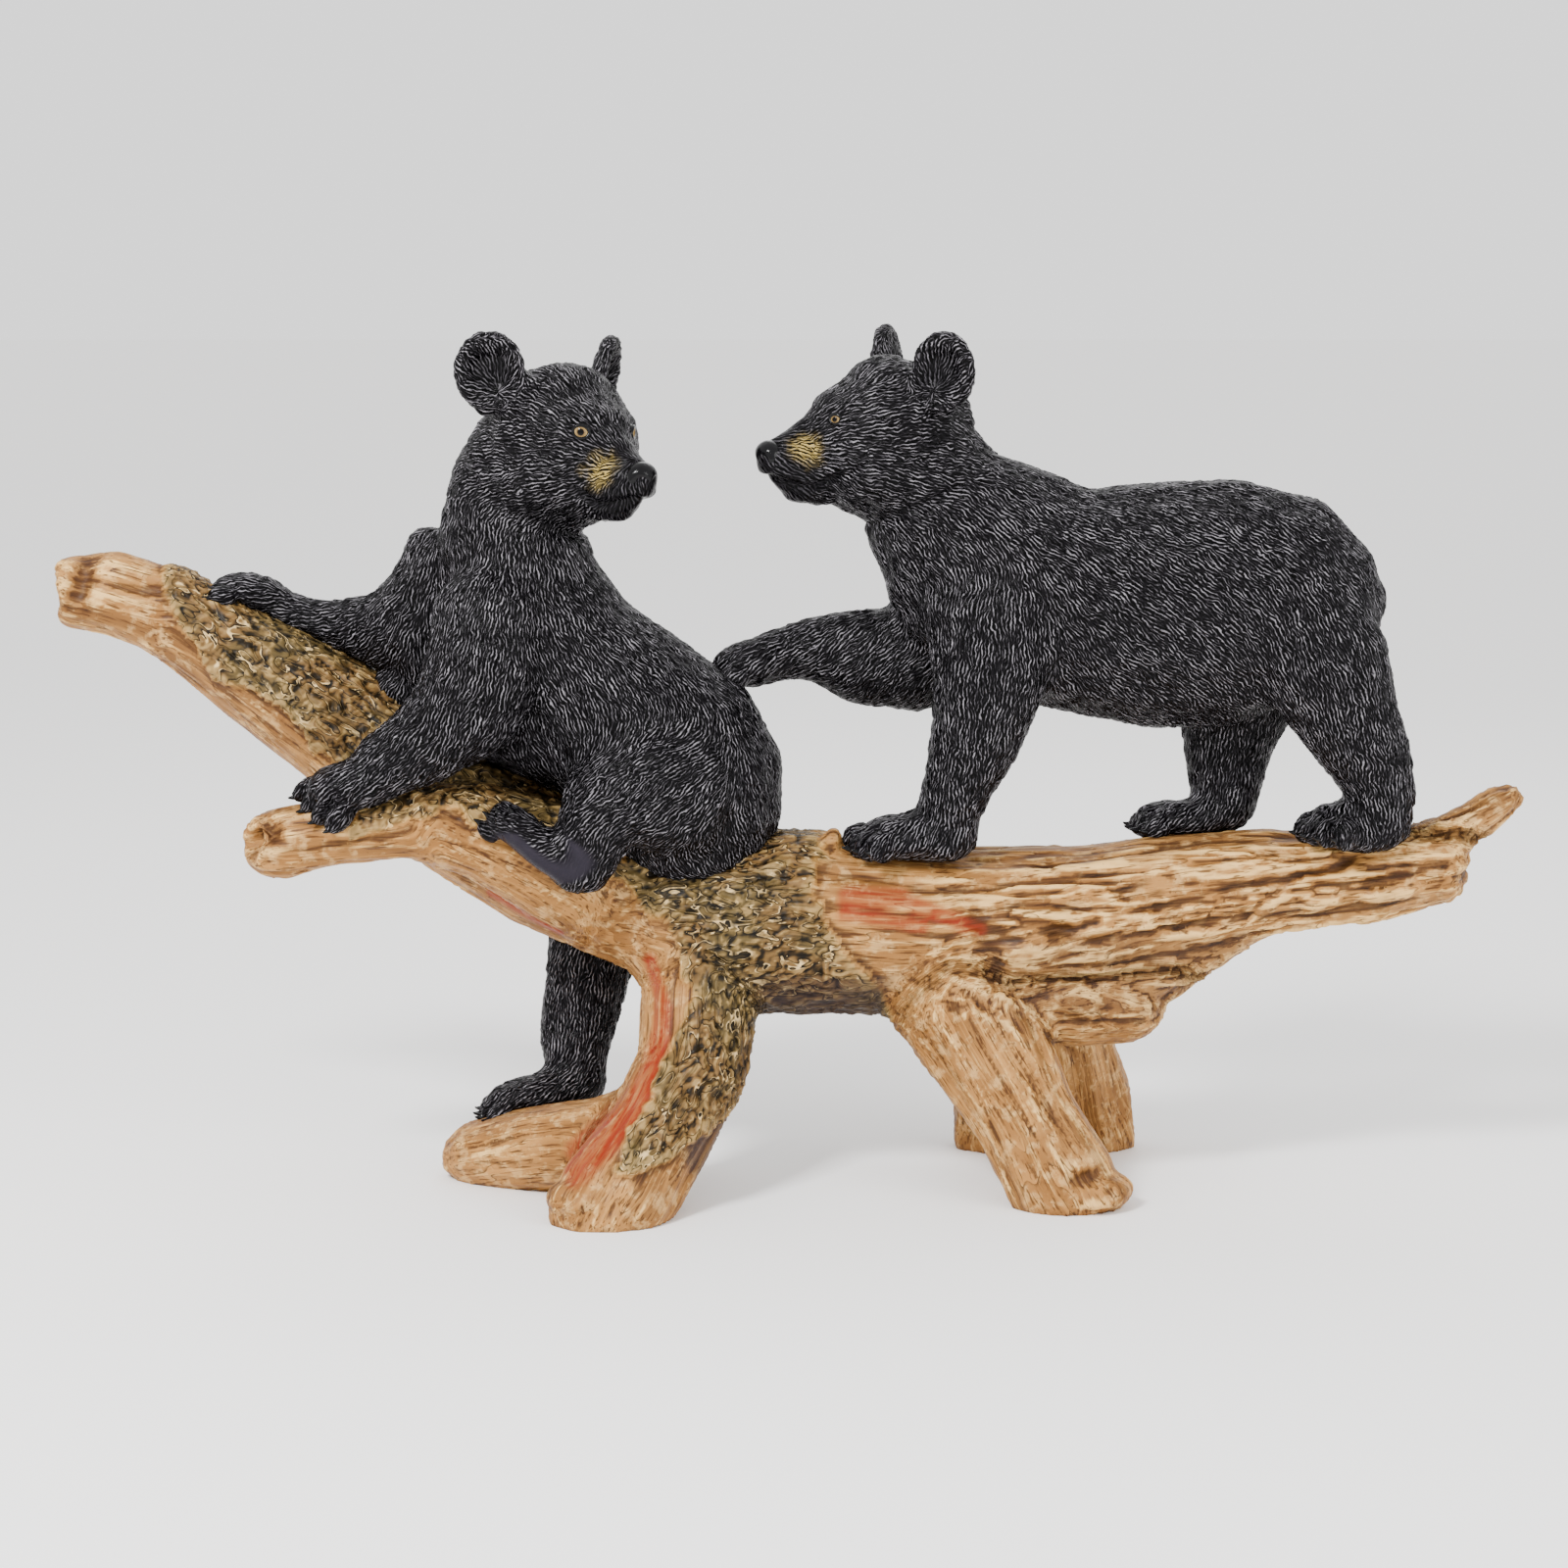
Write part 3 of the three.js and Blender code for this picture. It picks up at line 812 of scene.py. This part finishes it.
def makeEyes(cub, headFrame, skin, name):
    corners = [tuple(point) for point in pointsOf(skin)]
    tree = BVHTree.FromPolygons(corners, [polygon.vertices[:] for polygon in skin.data.polygons])
    balls = []
    lids = []
    ex, ey, ez = face["eye"]
    size = cub["eyeSize"]
    for hand in (-1, 1):
        target = headFrame @ (Vector((ex, ey * hand, ez)) * mm)
        looking = (headFrame.to_3x3() @ Vector((0.72, 0.68 * hand, 0.12))).normalized()
        hit = tree.ray_cast(target + looking * 0.03, -looking)
        surface = hit[0] if hit[0] else target
        upward = headFrame.to_3x3() @ Vector((0, 0, 1))
        socket = aimed(surface / mm, looking, upward.cross(looking))
        sunk = (-size * 0.55, 0, 0)
        eye = ball(socket @ place(sunk), (size, size, size), 32, 24)
        centre = np.array(socket @ (Vector(sunk) * mm))
        outward = unit(pointsOf(eye) - centre) @ np.array(looking)
        addAttribute(eye, "gaze", np.clip(np.arccos(np.clip(outward, -1, 1)) / math.radians(62), 0, 2))
        balls.append(eye)
        for above in (1, -1):  # upper and lower lid
            bpy.ops.object.select_all(action="DESELECT")
            bpy.ops.mesh.primitive_torus_add(major_radius=size * 0.93 * mm, minor_radius=1.0 * mm,
                                             major_segments=36, minor_segments=12)
            lid = bpy.context.object
            tilt = turned((0, 90 - 14 * above, 0))
            oval = Matrix.Diagonal((0.86, 1.06, 1, 1))
            lid.matrix_world = socket @ place((-0.3, 0, 0.25 * above)) @ tilt @ oval
            setPlace(lid)
            lids.append(lid)
    for made, kind, material in ((balls, "eyes", "eye"), (lids, "lids", "gloss")):
        joinTo(made[0], made[1:])
        made[0].name = f"{name}_{kind}"
        finishPiece(made[0], materials[material])


def makeNose(headFrame, name):
    at, turn, size = face["nose"]
    noseFrame = headFrame @ place(at, turn)
    nose = ball(noseFrame, size, 64, 48)
    points = pointsOf(nose)
    local = localTo(noseFrame, points)
    push = np.zeros(len(points))
    for hand in (-1, 1):
        nostril = np.sqrt((local[:, 1] - 4.3 * hand) ** 2 + ((local[:, 2] + 0.4) / 1.1) ** 2)
        push -= 4.2 * np.exp(-((nostril / 2.1) ** 2)) * (local[:, 0] > 0)
        wing = np.sqrt((local[:, 0] - 2) ** 2 + (local[:, 1] - 7 * hand) ** 2 + (local[:, 2] + 2) ** 2)
        push += 0.9 * np.exp(-((wing / 2.6) ** 2))
    groove = 1.2 * np.exp(-((local[:, 1] / 0.8) ** 2)) * smoothStep(-local[:, 2], 0.5, 4)
    push -= groove * (local[:, 0] > 0)
    setPoints(nose, points + normalsOf(nose) * (push * mm)[:, None])
    nose.name = f"{name}_nose"
    finishPiece(nose, materials["gloss"])


def makeCub(cub):
    name = cub["node"]
    rng = np.random.default_rng(len(name) * 101)
    headFrame = headMatrix(cub["head"])
    keep = {"centre": headFrame.translation, **coat["head"]}
    piece = formOf(name, f"{name}_coat", coat["coarse"] * mm, coat["rounds"], keep)
    addFace(piece, headFrame)
    if cub["fills"]:
        joinTo(piece, [ball(place(at, turn), size) for at, turn, size in cub["fills"]])
    clawPlaces = addToes(piece, cub["paws"])
    remesh(piece, coat["skin"] * mm)
    relax(piece, 3)

    points = pointsOf(piece)
    normals = normalsOf(piece)
    points, fur, gold = carveFace(points, normals, headFrame, cub["gold"])
    setPoints(piece, points)
    relax(piece, 1)
    makeEyes(cub, headFrame, piece, name)
    makeNose(headFrame, name)

    points = pointsOf(piece)
    normals = normalsOf(piece)
    edges = edgesOf(piece)
    flow = combed(points, normals, edges, cub["strokes"], cub["droop"])
    radiating, weight = headFlow(points, headFrame)
    flow = alongSurface(flow * (1 - weight)[:, None] + unit(radiating) * weight[:, None], normals)
    for i in range(5):
        flow = alongSurface(flow + neighbourMean(flow, edges), normals)

    pad = np.zeros(len(points))
    for centre, size, facing in cub["soles"]:
        away = np.linalg.norm((points / mm - np.array(centre)) / np.array(size), axis=1)
        outward = smoothStep(normals @ unit(np.array([facing]))[0], 0.45, 0.7)
        pad = np.maximum(pad, (1 - smoothStep(away, 0.9, 1.1)) * outward)
    furrow = np.zeros(len(points))
    for paw in cub["paws"]:
        local = localTo(aimed(paw["at"], paw["forward"], paw["side"]), points)
        away = np.linalg.norm(local / np.array([14, 20, 12]), axis=1)
        fur *= 1 - 0.55 * (1 - smoothStep(away, 0.6, 1.1))
        # furrows between the toes
        aside = np.abs(local[:, 1] - paw["spread"] * np.round(local[:, 1] / paw["spread"]))
        inside = (np.abs(local[:, 1]) < 1.5 * paw["spread"]) * smoothStep(local[:, 0], -9, -2)
        furrow -= 2.0 * np.exp(-((aside / 1.3) ** 2)) * inside * (1 - smoothStep(away, 0.75, 1.1))
    fur *= 1 - pad

    seeds = rng.choice(len(points), coat["lockCount"], replace=False)
    height = layStrokes(points, normals, flow, seeds, rng, coat["locks"])
    lumps = 0.5 * cloud(points, 0.018, 3) * mm
    rise = height * fur + lumps * fur - 0.3 * mm * fur + furrow * mm
    setPoints(piece, points + normals * rise[:, None])
    addAttribute(piece, "across", np.cross(normals, flow), "FLOAT_VECTOR")
    addAttribute(piece, "fur", fur)
    addAttribute(piece, "gold", gold)
    addAttribute(piece, "pad", pad)
    addAttribute(piece, "lock", height / (coat["locks"]["height"][1] * mm))
    finishPiece(piece, materials["coat"])
    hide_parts(name)

    claws = [clawFrom(matrix) for matrix in clawPlaces]
    joinTo(claws[0], claws[1:])
    claws[0].name = f"{name}_claws"
    finishPiece(claws[0], materials["gloss"])
    print(name, "coat has", len(piece.data.polygons), "faces")


trunk = {
    "coarse": 3.2,  # first skin, in mm
    "rounds": 9,  # of smoothing
    "skin": 2.0,  # last skin, in mm
    # place, turn and half lengths of the broken stub and the feet's knobs
    "knobs": [
        ((23, -14, 178), (0, 20, 0), (5, 7, 10)),
        ((153, -54, 9), (0, 0, 0), (22, 19, 11)),
        ((-92, -84, 12), (0, 0, 0), (25, 18, 13)),
    ],
    # start, end and girth of each limb, in mm
    "limbs": [
        ((-60, 0, 140), (62, 0, 133), 45),
        ((62, 0, 133), (205, 1, 150), 40),
        ((205, 1, 150), (338, -2, 166), 26),
        ((312, -2, 170), (370, -5, 202), 14),
        ((110, -6, 104), (190, -6, 96), 26),
        ((-70, 6, 146), (-190, 24, 204), 36),
        ((-190, 24, 204), (-300, 27, 281), 28),
        ((-300, 27, 281), (-370, 22, 304), 22),
        ((-75, 0, 148), (-155, -24, 187), 28),
        ((-155, -24, 187), (-265, -36, 181), 18),
        ((-44, 0, 140), (-46, -32, 68), 32),
        ((-46, -32, 68), (-92, -82, -5), 30),
        ((-70, -40, 36), (-165, 12, 10), 26),
        ((84, -16, 104), (120, -38, 44), 28),
        ((120, -38, 44), (146, -48, -5), 28),
        ((115, 20, 104), (141, 80, -5), 32),
    ],
    "splinters": {"length": (30, 80), "width": (3.5, 9), "height": (0.5, 2.4), "stray": 0.06, "taper": 0.7},
    "splinterCount": 1500,
    "curls": {"length": (7, 16), "width": (2.8, 6), "height": (0.5, 1.7), "stray": 0.5, "taper": 0.3},
    "curlCount": 5600,
    "barkRise": 1.2,  # the bark stands over the wood
    "draw": 0.93,  # how far the grain is drawn out along a limb
}

# outline of the bark in mm: (x, z) on the branches and the foot, (z, x) down the leg
barkEdge = {
    "lowBranch": [(-215, 189), (-198, 193), (-180, 197), (-161, 199), (-148, 191), (-110, 176), (-81, 165)],
    "highBranch": [(-318, 306), (-301, 280), (-292, 265), (-274, 259), (-261, 254), (-248, 241), (-240, 226),
                   (-200, 200), (-150, 176), (-81, 160)],
    "legLeft": [(18, -85), (37, -81), (65, -65), (84, -57), (107, -50), (123, -51), (136, -57), (150, -68),
                (165, -81)],
    "legFoot": [(-90, 24), (-54, 33), (-37, 40), (-18, 54), (-10, 60)],
    "right": [(98, 52), (108, 50), (122, 38), (133, 27), (146, 19), (158, 17), (174, 18), (190, 20)],
}

# hollows and raised plates on the near side: x, z, half length, half height, tilt, rise, in mm and degrees
carvings = [
    (-357, 311, 6, 13, -12, -6.0),  # hollow end of the upper branch
    (-331, 307, 20, 3.2, -9, -3.0),
    (-256, 190, 7, 6, 0, -6.0),  # knot on the lower branch
    (-225, 196, 26, 2.2, 4, -1.6),
    (-220, 184, 30, 2.0, 10, -1.6),
    (103, 140, 12, 6, -20, -5.5),  # dark hollow in the middle
    (106, 121, 6, 10, 10, -4.0),
    (127, 129, 8, 12, 15, 4.0),
    (117, 120, 7, 13, 20, 2.2),
    (136, 139, 15, 3.4, -12, -3.6),
    (160, 119, 20, 7, -4, 3.0),
    (168, 104, 24, 7, -4, 2.4),
    (160, 111, 30, 2.0, -5, -2.6),
    (170, 148, 46, 1.8, -2, -2.0),
    (190, 137, 46, 1.8, 8, -2.0),
    (60, 146, 40, 2.2, -8, -1.8),
    (62, 160, 38, 2.0, -10, -1.6),
    (70, 137, 40, 2.0, -8, -1.2),
    (240, 160, 40, 2.2, 10, -2.0),
    (282, 170, 14, 3.0, 30, -2.2),
    (305, 162, 18, 4.0, 14, -2.4),
    (351, 160, 5, 5, 0, -5.0),  # hollow right end
    (130, 55, 28, 1.8, -58, -1.8),
    (112, 60, 30, 1.8, -58, -1.4),
    (141, 74, 18, 1.8, -50, -1.8),
    (150, 19, 7, 4, 20, -4.0),
    (156, 6, 9, 4, 0, 3.0),
]

# start and end as (x, z), and half width, in mm
redStreaks = [
    ((32, 155), (58, 154), 5),
    ((58, 154), (98, 139), 4),
    ((30, 147), (70, 141), 3),
    ((-68, 122), (-61, 101), 3.5),
    ((-61, 101), (-62, 86), 4),
    ((-62, 86), (-68, 67), 4.5),
    ((-68, 67), (-79, 50), 5.5),
    ((-79, 50), (-103, 27), 6.5),
    ((-150, 152), (-115, 133), 2.5),
]


def along(values, pairs):
    return np.interp(values, [pair[0] for pair in pairs], [pair[1] for pair in pairs])


def barkMask(points):
    # bark runs from the middle of the trunk up both branches and down the left leg
    x, y, z = (points / mm).T
    wander = 4.5 * cloud(points, 0.012, 11) + 2.5 * cloud(points, 0.005, 12)
    low = np.minimum(z - along(x, barkEdge["lowBranch"]), x + 213)
    high = np.minimum(z - along(x, barkEdge["highBranch"]), x + 317)
    branch = np.where(y < -8, low, high)
    leg = np.minimum(x - along(z, barkEdge["legLeft"]), along(z, barkEdge["right"]) - x)
    leg = np.minimum(leg, z - along(x, barkEdge["legFoot"]))
    inside = np.where((x < -81) & (z > 100), branch, leg) + wander
    return smoothStep(inside, -1.4, 1.4)


def stamped(points, normals, marks):
    # hollows and raised plates with ragged edges, on faces turned to the near side
    x, _, z = (points / mm).T
    facing = smoothStep(-normals[:, 1], -0.2, 0.25)
    total = np.zeros(len(points))
    ragged = 1 + 0.35 * cloud(points, 0.006, 41)
    for cx, cz, long, short, tilt, rise in marks:
        c, s = math.cos(math.radians(tilt)), math.sin(math.radians(tilt))
        u = (c * (x - cx) + s * (z - cz)) / long
        v = (c * (z - cz) - s * (x - cx)) / short
        total += rise * facing * np.exp(-(np.abs(u) ** 2.6 + v ** 2) * ragged)
    return total


def saw(values):
    # rises slowly and drops at once
    part = values - np.floor(values)
    return part * (1 - smoothStep(part, 0.86, 1.0))


def grainOf(points, normals, edges):
    # lengthwise direction and a copy of the place squeezed along it
    flow = np.zeros_like(points)
    total = np.zeros(len(points))
    drawn = np.zeros_like(points)
    joins = {}
    for start, end, girth in trunk["limbs"]:
        distance, direction = nearestOnPath(points, start, end)
        weight = 1 / ((distance / (girth * mm)) ** 5 + 0.02)
        flow += weight[:, None] * direction
        # limbs that meet end to end share one running place
        first = np.array(start) * mm
        anchor = joins.get(start, first)
        joins[end] = anchor + (1 - trunk["draw"]) * (np.array(end) * mm - first)
        length = ((points - first) @ direction)[:, None] * direction
        sharp = weight ** 3
        drawn += sharp[:, None] * (points - first + anchor - trunk["draw"] * length)
        total += sharp
    flow = alongSurface(flow, normals)
    for i in range(8):
        flow = alongSurface(flow + neighbourMean(flow, edges), normals)
    return flow, drawn / total[:, None]


def roughWood(points):
    # the broken right half is rougher, and smooths out to its end
    x, _, z = (points / mm).T
    return smoothStep(x, 55, 110) * smoothStep(z, 78, 100) * (1 - 0.5 * smoothStep(x, 300, 340))


def trunkHeight(points, normals, flow, grain, bark, rough, rng):
    # how far the surface stands out, in mm
    top = smoothStep(normals[:, 2], 0.75, 0.95)
    seeds = rng.choice(np.flatnonzero(bark < 0.5), trunk["splinterCount"])
    splinters = layStrokes(points, normals, flow, seeds, rng, trunk["splinters"])
    seeds = rng.choice(np.flatnonzero(bark >= 0.5), trunk["curlCount"])
    curls = layStrokes(points, normals, flow, seeds, rng, trunk["curls"])

    fineRidge = 1 - 2 * np.abs(cloud(grain, 0.0042, 21))
    wideRidge = 1 - 2 * np.abs(cloud(grain, 0.011, 22))
    lumps = cloud(points, 0.03, 24)
    split = saw(2.6 * cloud(grain, 0.013, 26))
    plates = saw(1.5 * cloud(0.25 * points + 0.75 * grain, 0.02, 27) + 0.25 * cloud(points, 0.012, 28))
    wood = (0.4 + 0.7 * rough) * splinters / mm + 0.35 * fineRidge + (0.45 + 0.35 * rough) * wideRidge
    wood = (wood + (0.8 + 1.2 * rough) * split + 2.6 * rough * plates) * (1 - 0.6 * top)
    wood = wood + 0.8 * lumps - 1.2 * rough

    bend = np.stack([cloud(points, 0.013, 31 + i) for i in range(3)], axis=1)
    swirl = 0.4 * points + 0.6 * grain + 0.004 * bend
    chips = saw(2.4 * cloud(swirl, 0.009, 35))
    rind = trunk["barkRise"] + 0.7 * curls / mm + 1.5 * chips + 0.6 * cloud(points, 0.02, 36)
    return (1 - bark) * wood + bark * rind


def reliefOf(height, edges):
    # height against its surroundings, near and wide
    level = height[:, None].copy()
    for i in range(6):
        level = neighbourMean(level, edges)
    near = (height - level[:, 0]) / 0.8
    for i in range(26):
        level = neighbourMean(level, edges)
    return np.clip(0.75 * near + 0.45 * (height - level[:, 0]), -1, 1)


def rednessOf(points, normals):
    red = np.zeros(len(points))
    flat = points * np.array([1, 0, 1])
    for (xa, za), (xb, zb), reach in redStreaks:
        distance, _ = nearestOnPath(flat, (xa, 0, za), (xb, 0, zb))
        streak = 1 - smoothStep(distance / mm, reach * 0.5, reach * 1.5)
        red = np.maximum(red, streak * (normals[:, 1] < 0.2))
    return red


def shadeOf(points, normals, bark):
    # painted shade under the trunk, behind the heel and below the broken ledge; also darker on the faces
    # turned up
    x, _, z = (points / mm).T
    under = (1 - smoothStep(normals[:, 2], -0.75, -0.3)) * smoothStep(x, -25, -5)
    under = under * (1 - smoothStep(x, 50, 64)) * (z > 60)
    heel = (1 - smoothStep(np.hypot((x + 36) / 14, (z - 34) / 22), 0.7, 1.1)) * (bark < 0.5)
    top = smoothStep(normals[:, 2], 0.75, 0.95) * (1 - bark)
    low = smoothStep(x, 75, 120) * smoothStep(z, 80, 100)
    low = low * (1 - smoothStep(z, 122, 142)) * (1 - smoothStep(x, 240, 270))
    return np.clip(0.85 * under + 0.8 * heel + 0.2 * top + 0.3 * low, 0, 1)


def makeTrunk():
    rng = np.random.default_rng(77)
    piece = formOf("fallen_trunk", "trunk_casting", trunk["coarse"] * mm, trunk["rounds"])
    joinTo(piece, [ball(place(at, turn), size) for at, turn, size in trunk["knobs"]])
    remesh(piece, trunk["skin"] * mm)
    relax(piece, 2)
    points = pointsOf(piece)
    normals = normalsOf(piece)
    edges = edgesOf(piece)
    flow, grain = grainOf(points, normals, edges)
    bark = barkMask(points)
    rough = roughWood(points)

    lip = np.exp(-(((bark - 0.6) / 0.35) ** 2))  # the bark's raised edge
    carved = stamped(points, normals, carvings)
    height = trunkHeight(points, normals, flow, grain, bark, rough, rng)
    height = height + 0.9 * lip + carved - 0.9
    # the feet stay flat on the ground
    ground = smoothStep(points[:, 2] / mm, 1.5, 8)
    moved = points + normals * (height * (0.15 + 0.85 * ground) * mm)[:, None]
    moved[:, 2] = np.maximum(moved[:, 2], 0)
    moved[points[:, 2] < 0.0012, 2] = 0
    setPoints(piece, moved)

    relief = reliefOf(height, edges) * (1 - 0.15 * (1 - rough) * (1 - bark))
    addAttribute(piece, "grain", grain, "FLOAT_VECTOR")
    addAttribute(piece, "bark", bark)
    addAttribute(piece, "relief", relief)
    addAttribute(piece, "red", rednessOf(points, normals) * (1 - bark))
    # painted shade in the carved hollows
    addAttribute(piece, "hollow", np.clip(-carved / 4.5, 0, 1))
    addAttribute(piece, "lip", lip * (bark > 0.02) * (bark < 0.98))
    addAttribute(piece, "shade", shadeOf(points, normals, bark))
    finishPiece(piece, materials["wood"])
    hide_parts("fallen_trunk")
    print("trunk has", len(piece.data.polygons), "faces")


studio = {
    "camera": (0, -1.7825, 0.4579),
    "target": (0, 0, 0.2074),
    "lens": 81,
    "sensor": 36,
    "floor": rgb(251, 250, 249),
    "sky": 1.55,
    # name, place, size and power of each lamp
    "lamps": [
        ("key", (-0.8, -1.3, 1.5), 0.4, 54),
        ("fill", (1.3, -1.2, 0.8), 0.8, 12),
        ("back", (0.3, 1.4, 1.3), 1.0, 5),
    ],
    "lampsAim": (0, 0, 0.2),
}


def makeStudio():
    bpy.ops.object.select_all(action="DESELECT")
    bpy.ops.mesh.primitive_plane_add(size=60)
    floor = bpy.context.object
    floor.name = "floor"
    n = Nodes("paleFloor")
    n.put(n.shader.inputs["Base Color"], studio["floor"])
    n.put(n.shader.inputs["Roughness"], 0.9)
    floor.data.materials.append(n.material)
    for name, at, size, energy in studio["lamps"]:
        light = bpy.data.lights.new(name, "AREA")
        light.size = size
        light.energy = energy
        lamp = bpy.data.objects.new(name, light)
        bpy.context.scene.collection.objects.link(lamp)
        lamp.location = at
        aim = Vector(studio["lampsAim"]) - Vector(at)
        lamp.rotation_euler = aim.to_track_quat("-Z", "Y").to_euler()
    world = bpy.data.worlds.new("studio")
    world.use_nodes = True
    sky = world.node_tree.nodes["Background"]
    sky.inputs["Color"].default_value = (1, 1, 1, 1)
    sky.inputs["Strength"].default_value = studio["sky"]
    bpy.context.scene.world = world
    camera = bpy.data.objects.new("camera", bpy.data.cameras.new("camera"))
    bpy.context.scene.collection.objects.link(camera)
    camera.location = studio["camera"]
    aim = Vector(studio["target"]) - Vector(studio["camera"])
    camera.rotation_euler = aim.to_track_quat("-Z", "Y").to_euler()
    camera.data.lens = studio["lens"]
    camera.data.sensor_width = studio["sensor"]
    bpy.context.scene.camera = camera
    print("studio is lit")


makeStudio()
makeTrunk()
makeCub(seatedCub)
makeCub(walkingCub)
